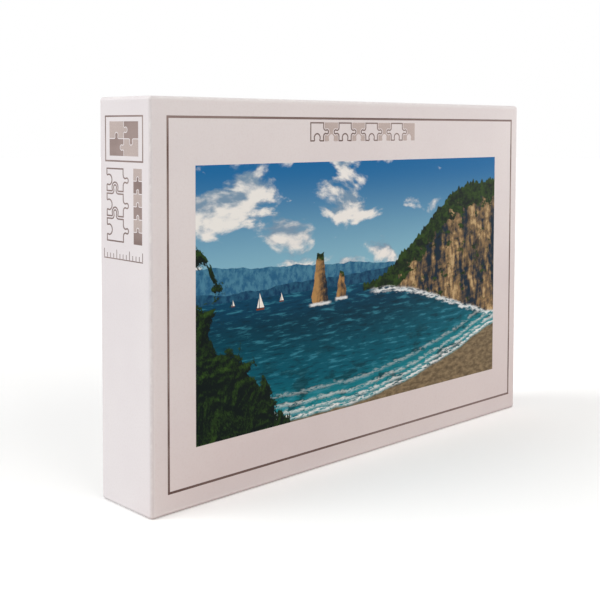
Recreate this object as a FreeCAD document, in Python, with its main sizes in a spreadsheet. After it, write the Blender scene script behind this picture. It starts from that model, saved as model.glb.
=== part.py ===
"""A boxed jigsaw puzzle of 500 pieces: a rigid two-part box with its bag of loose pieces.

Frame: millimetres, X along the box's length, Z up, Y from the picture side (-Y) to the back (+Y).
The box stands on one of its long sides, as on a shop shelf. The origin is under its middle, on the shelf.

A full-depth lid slides over a shallow tray. Each half is one scored sheet of greyboard folded up into
a tray, four strips of corner tape over its open corners, and one sheet of paper glued round the
outside and turned in over the rim. The pieces lie in a sealed film bag in the base tray.
"""
import FreeCAD
import Part
import Sketcher
import math
import os

# Driving sizes: name, value in millimetres (or a count), what it is.
SIZES = (
    ("box_length", 340.0, "outside of the lid, left to right"),
    ("box_height", 231.0, "outside of the lid, bottom to top"),
    ("box_depth", 48.0, "picture face to back face"),
    ("board", 1.65, "greyboard of both trays"),
    ("paper", 0.2, "printed and plain wrapping paper"),
    ("glue", 0.15, "glue line between board and paper"),
    ("tape", 0.1, "corner tape thickness"),
    ("tape_play", 0.025, "free space on each side of the corner tape"),
    ("tape_leg", 18.0, "width of the tape on each wall"),
    ("tape_end", 3.0, "tape stops this far from the rim and from the panel"),
    ("edge_round", 2.2, "outside radius of the folded edges"),
    ("corner_slit", 0.3, "open joint between the walls of a tray"),
    ("turn_in", 14.0, "paper folded over the rim into the tray"),
    ("lid_fit", 0.8, "space between lid and base on each side"),
    ("seat_gap", 0.2, "base above the lid wall that carries it"),
    ("head_gap", 0.3, "base rim to the inside of the lid panel"),
    ("base_reveal", 0.8, "back of the base beyond the lid's rim"),
    ("puzzle_length", 480.0, "finished picture, left to right"),
    ("puzzle_height", 340.0, "finished picture, bottom to top"),
    ("columns", 25, "pieces in a row"),
    ("rows", 20, "rows of pieces"),
    ("piece_thick", 1.9, "puzzle board"),
    ("cut_sway", 0.8, "how far the cut lines wander at a crossing"),
    ("knob_head", 2.3, "radius of a knob's round head"),
    ("head_sway", 0.16, "how far that radius wanders"),
    ("knob_out", 2.6, "middle of the head from the cut line"),
    ("knob_neck", 0.9, "fillet radius of a knob's neck"),
    ("knob_drift", 0.9, "how far a knob wanders along its side"),
    ("film", 0.2, "bag film"),
    ("bag_gap", 0.3, "bag from the walls that it rests on"),
    ("bag_round", 4.0, "radius of the filled bag's edges"),
    ("seal", 8.0, "width of the bag's end seals"),
    ("pile_across", 8, "loose pieces side by side in the bag"),
    ("pile_up", 6, "rows of loose pieces in the bag, one above the other"),
    ("loose_gap", 0.4, "space between loose pieces"),
    ("layer_play", 0.5, "room for a loose piece to tilt"),
)

doc = FreeCAD.newDocument("BoxedJigsaw")
sheet = doc.addObject("Spreadsheet::Sheet", "Sizes")


def fill_sheet():
    for line, (alias, value, meaning) in enumerate(SIZES, 1):
        sheet.set(f"A{line}", meaning)
        sheet.set(f"B{line}", str(value))
        sheet.setAlias(f"B{line}", alias)
    doc.recompute()


def size(alias):
    return float(sheet.get(alias))


def value(expression):
    """The number that an expression of named sizes stands for."""
    return float(sheet.evalExpression(expression))


# ---- expressions that several pieces share ----
WALL = "(Sizes.paper + Sizes.glue + Sizes.board)"
LINER = "(Sizes.glue + Sizes.paper)"
BESIDE_BASE = f"({WALL} + {LINER} + Sizes.lid_fit)"
PIECE_LONG = "(Sizes.puzzle_length / Sizes.columns / 2 + Sizes.cut_sway)"
PIECE_HIGH = "(Sizes.puzzle_height / Sizes.rows / 2 + Sizes.cut_sway)"
KNOB_TIP = (
    f"(hypot(max({PIECE_LONG}; {PIECE_HIGH}) + Sizes.knob_out; Sizes.knob_drift + Sizes.cut_sway)"
    " + Sizes.knob_head + Sizes.head_sway)")
# The circle that holds any piece however it is turned.
PIECE_REACH = f"max({KNOB_TIP}; hypot({PIECE_LONG}; {PIECE_HIGH}))"
PILE_STEP = f"(2 * {PIECE_REACH} + Sizes.loose_gap)"
PILE_RISE = f"({PILE_STEP} * sqrt(3) / 2)"
LAYER = "(Sizes.piece_thick + Sizes.loose_gap + Sizes.layer_play)"
LAYERS = "ceil(Sizes.columns * Sizes.rows / (Sizes.pile_across * Sizes.pile_up))"
PILE_LENGTH = f"((Sizes.pile_across - 0.5) * {PILE_STEP} + 2 * {PIECE_REACH})"
PILE_HEIGHT = f"((Sizes.pile_up - 1) * {PILE_RISE} + 2 * {PIECE_REACH})"


class Tray:
    """One half of the box: the outside of its paper, where its rim is and which way it is closed."""

    def __init__(self, name, length, height, depth, rim, middle, closed):
        self.name = name
        self.length = length
        self.height = height
        self.depth = depth
        self.rim = rim
        self.middle = middle
        self.closed = closed


LID = Tray(
    "lid",
    "Sizes.box_length",
    "Sizes.box_height",
    "(Sizes.box_depth - Sizes.base_reveal)",
    "(Sizes.box_depth / 2 - Sizes.base_reveal)",
    "(Sizes.box_height / 2)",
    -1,
)
BASE = Tray(
    "base",
    f"(Sizes.box_length - 2 * {BESIDE_BASE})",
    f"(Sizes.box_height - 2 * {BESIDE_BASE})",
    f"(Sizes.box_depth - {WALL} - Sizes.head_gap)",
    f"({WALL} + Sizes.head_gap - Sizes.box_depth / 2)",
    "(Sizes.box_height / 2 - Sizes.lid_fit + Sizes.seat_gap)",
    1,
)
BASE_FLOOR = f"({BASE.middle} - {BASE.height} / 2 + {WALL} + {LINER})"
BASE_BACK = f"(Sizes.box_depth / 2 - {WALL})"
BAG_LENGTH = f"({PILE_LENGTH} + 2 * (Sizes.bag_round + Sizes.film))"
BAG_HEIGHT = f"({PILE_HEIGHT} + 2 * (Sizes.bag_round + Sizes.film))"
BAG_THICK = f"({LAYERS} * {LAYER} + 2 * Sizes.film)"
BAG_MIDDLE = f"({BASE_FLOOR} + Sizes.bag_gap + {BAG_HEIGHT} / 2)"
BAG_BACK = f"({BASE_BACK} - Sizes.bag_gap)"


# ---- building blocks ----
def plane(body, role):
    """An origin plane or axis of a body, by its role."""
    return next(f for f in body.Origin.OriginFeatures if f.Role == role)


def centred_rectangle(sketch, width, height):
    """A rectangle about the sketch's origin, its width and height given as expressions."""
    lines = []
    corners = [(-1, -1), (1, -1), (1, 1), (-1, 1)]
    scale = 10.0 * (1 + sketch.GeometryCount)
    for (x1, y1), (x2, y2) in zip(corners, corners[1:] + corners[:1]):
        start = FreeCAD.Vector(x1 * scale, y1 * scale, 0)
        end = FreeCAD.Vector(x2 * scale, y2 * scale, 0)
        lines.append(sketch.addGeometry(Part.LineSegment(start, end), False))
    for here, after in zip(lines, lines[1:] + lines[:1]):
        sketch.addConstraint(Sketcher.Constraint("Coincident", here, 2, after, 1))
    sketch.addConstraint(Sketcher.Constraint("Horizontal", lines[0]))
    sketch.addConstraint(Sketcher.Constraint("Horizontal", lines[2]))
    sketch.addConstraint(Sketcher.Constraint("Vertical", lines[1]))
    sketch.addConstraint(Sketcher.Constraint("Vertical", lines[3]))
    sketch.addConstraint(Sketcher.Constraint("Symmetric", lines[0], 1, lines[1], 2, -1, 1))
    across = sketch.addConstraint(
        Sketcher.Constraint("DistanceX", lines[0], 1, lines[0], 2, 2 * scale))
    sketch.setExpression(f"Constraints[{across}]", width)
    up = sketch.addConstraint(
        Sketcher.Constraint("DistanceY", lines[1], 1, lines[1], 2, 2 * scale))
    sketch.setExpression(f"Constraints[{up}]", height)


def upright_sketch(body, name, *rectangles):
    """A sketch in the body's XZ plane that holds centred rectangles."""
    sketch = body.newObject("Sketcher::SketchObject", name)
    sketch.AttachmentSupport = [(plane(body, "XZ_Plane"), "")]
    sketch.MapMode = "FlatFace"
    for width, height in rectangles:
        centred_rectangle(sketch, width, height)
    return sketch


def place(thing, **coordinates):
    for axis, expression in coordinates.items():
        thing.setExpression(f"Placement.Base.{axis}", expression)


def rounded_block(label, length, height, depth, start, middle, direction, radius, all_edges=False):
    """A block from the plane y = start towards direction. Its edges are rounded, apart from those
    in the start plane, unless all_edges is set."""
    body = doc.addObject("PartDesign::Body", label)
    body.Label = label
    pad = body.newObject("PartDesign::Pad", f"{label}_pad")
    pad.Profile = upright_sketch(body, f"{label}_outline", (length, height))
    pad.setExpression("Length", depth)
    pad.Reversed = direction > 0
    doc.recompute()
    rounded = body.newObject("PartDesign::Fillet", f"{label}_round")
    chosen = [
        f"Edge{number}"
        for number, edge in enumerate(pad.Shape.Edges, 1)
        if all_edges or abs(edge.CenterOfMass.y) > 1e-3
    ]
    rounded.Base = (pad, chosen)
    rounded.setExpression("Radius", radius)
    place(body, y=start, z=middle)
    doc.recompute()
    return body


def block(label, x, y, z):
    """A plain block between a low and a high expression on each axis."""
    box = doc.addObject("Part::Box", label)
    for side, (low, high) in zip(("Length", "Width", "Height"), (x, y, z)):
        box.setExpression(side, f"{high} - {low}")
    place(box, x=x[0], y=y[0], z=z[0])
    return box


def boolean(kind, label, base, tool):
    made = doc.addObject(f"Part::{kind}", label)
    made.Base = base
    made.Tool = tool
    return made


def about(centre, width):
    """The low and high expression of a span of that width about a centre."""
    return f"({centre} - {width} / 2)", f"({centre} + {width} / 2)"


def inward(tray, distance):
    """A point that far inside the tray from its rim plane, towards its panel."""
    return f"({tray.rim} + ({tray.closed}) * {distance})"


def ordered(tray, first, second):
    """Two points along Y, lowest first, where the first is nearer to the tray's rim."""
    return (second, first) if tray.closed < 0 else (first, second)


# ---- the two halves of the box ----
def board_tray(tray):
    """One scored sheet of greyboard: a panel with four walls folded up, open at the corners."""
    skin = "(Sizes.paper + Sizes.glue)"
    length = f"({tray.length} - 2 * {skin})"
    height = f"({tray.height} - 2 * {skin})"
    wall_depth = f"({tray.depth} - 2 * {skin} - Sizes.board)"
    body = rounded_block(
        f"{tray.name}_board", length, height, f"({tray.depth} - 2 * {skin})",
        inward(tray, skin), tray.middle, tray.closed, f"Sizes.edge_round - {skin}")
    solid = body.Tip.Shape.Volume
    hollow = body.newObject("PartDesign::Pocket", f"{tray.name}_hollow")
    hollow.Profile = upright_sketch(
        body, f"{tray.name}_inside",
        (f"{length} - 2 * Sizes.board", f"{height} - 2 * Sizes.board"))
    hollow.setExpression("Length", wall_depth)
    hollow.Reversed = tray.closed < 0
    doc.recompute()
    walls = body.Tip.Shape.Volume
    assert walls < solid / 4, "the tray's hollow points away from it"
    # A frame-shaped cut whose two long sides part the side walls from the top and bottom walls.
    past_walls = f"({length} + 2 * Sizes.board)"
    slits = body.newObject("PartDesign::Pocket", f"{tray.name}_slits")
    slits.Profile = upright_sketch(
        body, f"{tray.name}_slit_lines",
        (f"{past_walls} + 2 * Sizes.board", f"{height} - 2 * Sizes.board"),
        (past_walls, f"{height} - 2 * (Sizes.board + Sizes.corner_slit)"))
    slits.setExpression("Length", wall_depth)
    slits.Reversed = tray.closed < 0
    doc.recompute()
    assert body.Tip.Shape.Volume < walls, "the corner slits point away from the tray"
    return body


def paper_wrap(tray):
    """One sheet of paper round the tray's outside, over its rim and a little way into it."""
    name = f"{tray.name}_wrap"
    outside = rounded_block(
        f"{name}_outside", tray.length, tray.height, tray.depth, tray.rim, tray.middle,
        tray.closed, "Sizes.edge_round")
    inside = rounded_block(
        f"{name}_inside", f"({tray.length} - 2 * Sizes.paper)",
        f"({tray.height} - 2 * Sizes.paper)", f"({tray.depth} - 2 * Sizes.paper)",
        inward(tray, "Sizes.paper"), tray.middle, tray.closed, "Sizes.edge_round - Sizes.paper")
    skin = boolean("Cut", f"{name}_skin", outside, inside)
    lining_wall = f"({WALL} + Sizes.glue)"
    turned = block(
        f"{name}_turned_in", about("0", f"({tray.length} - 2 * {lining_wall})"),
        ordered(tray, tray.rim, inward(tray, "Sizes.turn_in")),
        about(tray.middle, f"({tray.height} - 2 * {lining_wall})"))
    lined = boolean("Fuse", f"{name}_lined", skin, turned)
    throat_wall = f"({WALL} + {LINER})"
    past_rim = inward(tray, "(-Sizes.board)")
    past_lining = inward(tray, "(Sizes.turn_in + Sizes.board)")
    throat = block(
        f"{name}_throat", about("0", f"({tray.length} - 2 * {throat_wall})"),
        ordered(tray, past_rim, past_lining),
        about(tray.middle, f"({tray.height} - 2 * {throat_wall})"))
    return boolean("Cut", name, lined, throat)


def corner_stays(tray):
    """Four strips of tape, each bent round one corner of the board and under the paper."""
    name = f"{tray.name}_corner_stays"
    play = "(Sizes.paper + Sizes.glue - Sizes.tape_play)"
    outer_inset = "(Sizes.paper + Sizes.glue - Sizes.tape_play - Sizes.tape)"
    shells = []
    for label, inset in (("outer", outer_inset), ("inner", play)):
        shells.append(rounded_block(
            f"{name}_{label}", f"({tray.length} - 2 * {inset})", f"({tray.height} - 2 * {inset})",
            f"({tray.depth} - 2 * {inset})", inward(tray, inset), tray.middle, tray.closed,
            f"Sizes.edge_round - {inset}"))
    sleeve = boolean("Cut", f"{name}_sleeve", *shells)
    near_rim = inward(tray, f"({play} + Sizes.tape_end)")
    near_panel = inward(tray, f"({tray.depth} - {play} - Sizes.edge_round - Sizes.tape_end)")
    posts = doc.addObject("Part::Compound", f"{name}_posts")
    reach = "(Sizes.tape_leg + Sizes.paper)"
    posts.Links = [
        block(
            f"{name}_post_{number}",
            about(f"({x} * ({tray.length} - {reach}) / 2)", reach),
            ordered(tray, near_rim, near_panel),
            about(f"({tray.middle} + ({z}) * ({tray.height} - {reach}) / 2)", reach))
        for number, (x, z) in enumerate(((-1, -1), (1, -1), (1, 1), (-1, 1)), 1)
    ]
    return boolean("Common", name, sleeve, posts)


# ---- the puzzle ----
def wander(*key):
    """A repeatable number from -1 to 1 for each key, so that every cut line is its own."""
    mixed = math.sin(sum(k * w for k, w in zip(key, (12.9898, 78.233, 37.719)))) * 43758.5453
    return 2 * (mixed - math.floor(mixed)) - 1


def crossing(column, row):
    """Where two cut lines cross. Those on the picture's border stay on it."""
    columns, rows = int(size("columns")), int(size("rows"))
    x = column * size("puzzle_length") / columns
    y = row * size("puzzle_height") / rows
    if 0 < column < columns:
        x += size("cut_sway") * wander(column, row, 1)
    if 0 < row < rows:
        y += size("cut_sway") * wander(column, row, 2)
    return FreeCAD.Vector(x, y, 0)


def straight(start, end):
    return [Part.LineSegment(start, end).toShape()]


def knobbed(start, end, key):
    """A cut from one crossing to the next with a knob to one side: two lines and three arcs."""
    along = (end - start).normalize()
    side = 1 if wander(*key, 3) > 0 else -1
    out = FreeCAD.Vector(-along.y, along.x, 0) * side
    head = size("knob_head") + size("head_sway") * wander(*key, 4)
    neck, lift = size("knob_neck"), size("knob_out")
    middle = (start + end) / 2 + along * (size("knob_drift") * wander(*key, 5))
    spread = math.sqrt((head + neck) ** 2 - (lift - neck) ** 2)
    top = middle + out * (lift + head)
    centre = middle + out * lift
    feet, joins, bends = [], [], []
    for way in (-1, 1):
        foot = middle + along * (way * spread)
        bend_centre = foot + out * neck
        join = centre + (bend_centre - centre).normalize() * head
        towards = ((foot + join) / 2 - bend_centre).normalize()
        feet.append(foot)
        joins.append(join)
        bends.append(bend_centre + towards * neck)
    return [
        Part.LineSegment(start, feet[0]).toShape(),
        Part.Arc(feet[0], bends[0], joins[0]).toShape(),
        Part.Arc(joins[0], top, joins[1]).toShape(),
        Part.Arc(joins[1], bends[1], feet[1]).toShape(),
        Part.LineSegment(feet[1], end).toShape(),
    ]


def cut_line(column, row, upright):
    """The cut that starts at a crossing and runs up or to the right. The border is straight."""
    start = crossing(column, row)
    end = crossing(column, row + 1) if upright else crossing(column + 1, row)
    on_border = column in (0, int(size("columns"))) if upright else row in (0, int(size("rows")))
    if on_border:
        return straight(start, end)
    return knobbed(start, end, (column, 2 * row + (1 if upright else 0)))


def piece_solid(column, row):
    """One piece lying flat about its own middle, picture side up."""
    edges = cut_line(column, row, False) + cut_line(column + 1, row, True)
    edges += cut_line(column, row + 1, False)[::-1] + cut_line(column, row, True)[::-1]
    middle = FreeCAD.Vector(
        (column + 0.5) * size("puzzle_length") / size("columns"),
        (row + 0.5) * size("puzzle_height") / size("rows"), size("piece_thick") / 2)
    piece = Part.Face(Part.Wire(edges)).extrude(FreeCAD.Vector(0, 0, size("piece_thick")))
    piece.translate(-middle)
    return piece


def places_in_bag():
    """A place for each loose piece, the lowest first. The pieces lie in layers along Y, in rows
    that are staggered by half a step, and the bag's top stays partly empty."""
    across, up = int(size("pile_across")), int(size("pile_up"))
    step, rise, layer_step = value(PILE_STEP), value(PILE_RISE), value(LAYER)
    back = value(BAG_BACK) - size("film") - layer_step / 2
    bottom = value(BAG_MIDDLE) - value(PILE_HEIGHT) / 2 + value(PIECE_REACH)
    found = []
    for row in range(up):
        for layer in range(int(value(LAYERS))):
            shift = step / 4 if (row + layer) % 2 else -step / 4
            for slot in range(across):
                x = (slot - (across - 1) / 2) * step + shift
                found.append(FreeCAD.Vector(x, back - layer * layer_step, bottom + row * rise))
    return found[:int(size("columns") * size("rows"))]


def tumbled(number, spot):
    """A placement that turns a piece at random on its spot, one side or the other to the front."""
    tilt = math.degrees(size("layer_play") / (2 * value(PIECE_REACH)))
    to_front = FreeCAD.Rotation(FreeCAD.Vector(1, 0, 0), 90)
    lean_axis = FreeCAD.Vector(wander(number, 6), 0, wander(number, 7))
    lean = FreeCAD.Rotation(lean_axis, tilt * wander(number, 8))
    flip = FreeCAD.Rotation(FreeCAD.Vector(1, 0, 0), 0 if wander(number, 9) > -0.3 else 180)
    spin = FreeCAD.Rotation(FreeCAD.Vector(0, 0, 1), 180 * wander(number, 10))
    return FreeCAD.Placement(spot, lean * to_front * spin * flip)


def puzzle_rows():
    """The pieces, one feature for each row of the finished picture, scattered through the bag."""
    rows, columns = int(size("rows")), int(size("columns"))
    spots = places_in_bag()
    count = len(spots)
    stride = next(s for s in range(count // 3, count) if math.gcd(s, count) == 1)
    made = []
    for row in range(rows):
        solids = []
        for column in range(columns):
            number = row * columns + column
            solid = piece_solid(column, row)
            laid = tumbled(number, spots[number * stride % count])
            solid.Placement = laid.multiply(solid.Placement)
            solids.append(solid)
        feature = doc.addObject("Part::Feature", f"puzzle_row_{row + 1:02d}")
        feature.Shape = Part.Compound(solids)
        made.append(feature)
    return made


def piece_bag():
    """A sealed pillow of clear film with a flat seal at each end, standing in the base tray."""
    outside = rounded_block(
        "bag_outside", BAG_LENGTH, BAG_HEIGHT, BAG_THICK, BAG_BACK, BAG_MIDDLE, -1,
        "Sizes.bag_round", True)
    inside = rounded_block(
        "bag_inside", f"({BAG_LENGTH} - 2 * Sizes.film)", f"({BAG_HEIGHT} - 2 * Sizes.film)",
        f"({BAG_THICK} - 2 * Sizes.film)", f"({BAG_BACK} - Sizes.film)", BAG_MIDDLE, -1,
        "Sizes.bag_round - Sizes.film", True)
    seals = block(
        "bag_seals", about("0", f"({BAG_LENGTH} + 2 * Sizes.seal)"),
        about(f"({BAG_BACK} - {BAG_THICK} / 2)", "(2 * Sizes.film)"),
        about(BAG_MIDDLE, f"({BAG_HEIGHT} - 2 * Sizes.bag_round)"))
    filled = boolean("Fuse", "bag_filled", outside, seals)
    return boolean("Cut", "piece_bag", filled, inside)


def check(features):
    """Stops if any object of the document failed, or a piece isn't closed and valid."""
    for thing in doc.Objects:
        if "Invalid" in thing.State or "Error" in thing.State:
            raise RuntimeError(f"{thing.Label} failed: {thing.State}")
    for feature in features:
        shape = feature.Shape
        if shape.isNull() or not shape.isValid() or not shape.Solids:
            raise RuntimeError(f"{feature.Label} has no valid solid")


def main():
    fill_sheet()
    features = []
    for tray in (LID, BASE):
        features += [board_tray(tray), corner_stays(tray), paper_wrap(tray)]
    features.append(piece_bag())
    features += puzzle_rows()
    doc.recompute()
    check(features)
    os.makedirs("parts", exist_ok=True)
    for feature in features:
        feature.Shape.exportStep(f"parts/{feature.Label}.step")
        box = feature.Shape.BoundBox
        print(feature.Label, len(feature.Shape.Solids), round(feature.Shape.Volume, 1),
              [round(v, 2) for v in (box.XMin, box.XMax, box.YMin, box.YMax, box.ZMin, box.ZMax)])


main()
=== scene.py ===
"""Looks of the boxed jigsaw puzzle: printed lid, plain tray, film bag and loose pieces.

Metres, in the model's frame: X along the box, -Y the picture side, Z up from the shelf.
"""
import math
import random

import bmesh
import bpy
from mathutils import Matrix, Vector, noise


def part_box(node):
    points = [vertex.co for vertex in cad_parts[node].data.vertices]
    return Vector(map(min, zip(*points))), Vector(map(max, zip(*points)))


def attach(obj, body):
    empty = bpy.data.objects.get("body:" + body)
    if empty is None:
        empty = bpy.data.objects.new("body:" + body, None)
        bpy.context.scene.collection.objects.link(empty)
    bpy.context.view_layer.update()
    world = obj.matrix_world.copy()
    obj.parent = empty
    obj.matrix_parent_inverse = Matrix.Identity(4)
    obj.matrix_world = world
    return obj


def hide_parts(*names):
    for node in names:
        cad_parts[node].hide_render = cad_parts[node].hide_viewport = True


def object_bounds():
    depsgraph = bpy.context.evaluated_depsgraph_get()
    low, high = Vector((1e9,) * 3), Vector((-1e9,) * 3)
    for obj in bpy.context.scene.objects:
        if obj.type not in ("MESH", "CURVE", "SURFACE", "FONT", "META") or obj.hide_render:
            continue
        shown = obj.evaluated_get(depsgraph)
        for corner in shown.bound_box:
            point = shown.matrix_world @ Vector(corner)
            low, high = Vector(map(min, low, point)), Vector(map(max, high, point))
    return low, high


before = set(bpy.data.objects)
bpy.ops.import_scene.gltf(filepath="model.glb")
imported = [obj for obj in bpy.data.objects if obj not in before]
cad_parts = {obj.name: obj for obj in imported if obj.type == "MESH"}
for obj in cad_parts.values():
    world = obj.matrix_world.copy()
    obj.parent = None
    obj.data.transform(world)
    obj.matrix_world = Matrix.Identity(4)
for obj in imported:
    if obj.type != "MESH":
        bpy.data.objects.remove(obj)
cad_low, cad_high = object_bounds()

MM = 0.001
INK = 0.03 * MM          # thickness of a printed or foiled layer
PICTURE_HIGH = 158.6 * MM
PICTURE_LONG = 280.4 * MM
LEFT, RIGHT = cad_low.x, cad_high.x
FRONT = cad_low.y
TOP = cad_high.z
PICTURE_X = LEFT + 30.8 * MM
PICTURE_Z = 34.3 * MM
FACE_LINE = (-158.9, 11.7, 162.2, 220.5)     # low and high corner on the picture side, mm
FACE_LINE_WIDE = 1.4     # mm, as all sizes of printed shapes
BAND_MIDDLE, BAND_LOW = -0.5, 205.3
BAND_PIECES, BAND_PIECE_WIDE, BAND_PIECE_HIGH = 8, 12.45, 12.4
SIDE_FRAME = (-18.7, 194.8, 17.9, 220.6)     # as FACE_LINE, on the left side
SIDE_FRAME_WIDE = 0.9
FRAMED_WIDE, FRAMED_HIGH = 14.0, 9.8     # each of the four pieces in that frame
COLUMNS_LOW = 149.7      # lower end of the two columns of pieces under the frame
LARGE_PIECES, LARGE_LEFT, LARGE_WIDE, LARGE_HIGH = 3, -17.8, 17.4, 14.0
SMALL_PIECES, SMALL_LEFT, SMALL_WIDE, SMALL_HIGH = 6, 8.4, 8.4, 7.0
NARROW_GAP, WIDE_GAP = 0.25, 0.35        # from a piece's cut to its print
OUTLINE_WIDE = 0.8       # line round the outlined pieces
RULE = (-20.4, 140.2, 17.2, 140.8)
TICKS, TICK_WIDE, TICK_GAP = 13, 0.55, 0.1
TICK_LONG, TICK_SHORT, LONG_EVERY = 4.8, 2.6, 4
TOUCH = 0.001 * MM       # nearer than this is the same place
FOLD_FROM, FOLD_FULL = 1.7 * MM, 0.4 * MM    # from the edge: where the rubbed fold starts and peaks
FLAT_BORDER = 0.4 * MM
SHARP_ANGLE = math.radians(35)
ROWS, ROW_LONG = 20, 25  # rows of the puzzle, and pieces in a row
PUZZLE_HIGH = 340 * MM
PIECE_THICK = 1.9 * MM
CAP_AREA = 100 * MM * MM         # smaller faces of a loose piece are its cut edge
OUTLINE_SLACK = 0.06 * MM        # points of a cut line that bend it less are left out
PRINT_UP_SHARE = 0.7
PRINT_UP, BACK_UP, CUT_EDGE = range(3)
SEAL_WIDE = 8 * MM
FILM_HALF = 0.1 * MM     # half of the bag's thickness where it is sealed
BAG_CUTS = ((0, 179), (1, 1), (2, 99))   # axis of the edges, and cuts in each
EYE = (-0.4987, -0.4820, 0.2138)
YAW, PITCH, ROLL = 43.85, 2.96, 0.16     # degrees
LENS, SHIFT_UP = 62.7, -0.1965           # mm, and share of the sensor's width
CARD_PLACE = Vector((0.55, -0.27, 0.25))
CARD_WIDE, CARD_POWER = 0.3, 0.4
FLOOR_HALF = 6.0


class Value:
    """One number of a node tree, which ordinary arithmetic turns into Math nodes."""

    def __init__(self, graph, socket):
        self.graph = graph
        self.socket = socket

    def _with(self, operation, other, swap=False):
        pair = (other, self) if swap else (self, other)
        return self.graph.math(operation, *pair)

    def __add__(self, other):
        return self._with("ADD", other)

    __radd__ = __add__

    def __mul__(self, other):
        return self._with("MULTIPLY", other)

    __rmul__ = __mul__

    def __sub__(self, other):
        return self._with("SUBTRACT", other)

    def __rsub__(self, other):
        return self._with("SUBTRACT", other, True)

    def __truediv__(self, other):
        return self._with("DIVIDE", other)


class Graph:
    """Short names for the nodes of one material."""

    def __init__(self, tree):
        self.tree = tree

    def node(self, kind, **settings):
        made = self.tree.nodes.new(kind)
        for name, value in settings.items():
            setattr(made, name, value)
        return made

    def feed(self, socket, value):
        """Puts a number, a colour or another node's output into an input."""
        if isinstance(value, Value):
            value = value.socket
        if isinstance(value, bpy.types.NodeSocket):
            self.tree.links.new(value, socket)
        else:
            socket.default_value = value

    def math(self, operation, *values):
        made = self.node("ShaderNodeMath", operation=operation)
        for socket, value in zip(made.inputs, values):
            self.feed(socket, value)
        return Value(self, made.outputs[0])

    def ramp(self, value, low, high, out_low=0.0, out_high=1.0):
        """A smooth step from one value to another."""
        made = self.node("ShaderNodeMapRange", interpolation_type="SMOOTHSTEP")
        for name, given in (("Value", value), ("From Min", low), ("From Max", high),
                            ("To Min", out_low), ("To Max", out_high)):
            self.feed(made.inputs[name], given)
        return Value(self, made.outputs[0])

    def vector(self, x, y, z=0.0):
        made = self.node("ShaderNodeCombineXYZ")
        for socket, value in zip(made.inputs, (x, y, z)):
            self.feed(socket, value)
        return made.outputs[0]

    def noise(self, x, y, z=0.0, scale=1.0, detail=4.0, rough=0.5, warp=0.0):
        made = self.node("ShaderNodeTexNoise")
        self.feed(made.inputs["Vector"], self.vector(x, y, z))
        for name, value in (("Scale", scale), ("Detail", detail), ("Roughness", rough),
                            ("Distortion", warp)):
            made.inputs[name].default_value = value
        return Value(self, made.outputs["Fac"])

    def cells(self, x, y, scale):
        """The distance to the nearest of a field of scattered points."""
        made = self.node("ShaderNodeTexVoronoi")
        self.feed(made.inputs["Vector"], self.vector(x, y))
        made.inputs["Scale"].default_value = scale
        return Value(self, made.outputs["Distance"])

    def blend(self, share, first, second):
        """The first colour at share 0, the second at share 1."""
        made = self.node("ShaderNodeMix", data_type="RGBA")
        self.feed(made.inputs[0], share)
        self.feed(made.inputs[6], first)
        self.feed(made.inputs[7], second)
        return made.outputs[2]


def rgb(red, green, blue):
    """A colour from its usual 0 to 255 numbers."""
    def linear(byte):
        share = byte / 255
        return share / 12.92 if share <= 0.04045 else ((share + 0.055) / 1.055) ** 2.4
    return (linear(red), linear(green), linear(blue), 1.0)


def inside(graph, value, low, high, soft):
    """1 between low and high, 0 outside, with soft ends."""
    rise = graph.ramp(value, low - soft, low + soft)
    return rise * graph.ramp(value, high - soft, high + soft, 1.0, 0.0)


HORIZON = 0.50


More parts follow.
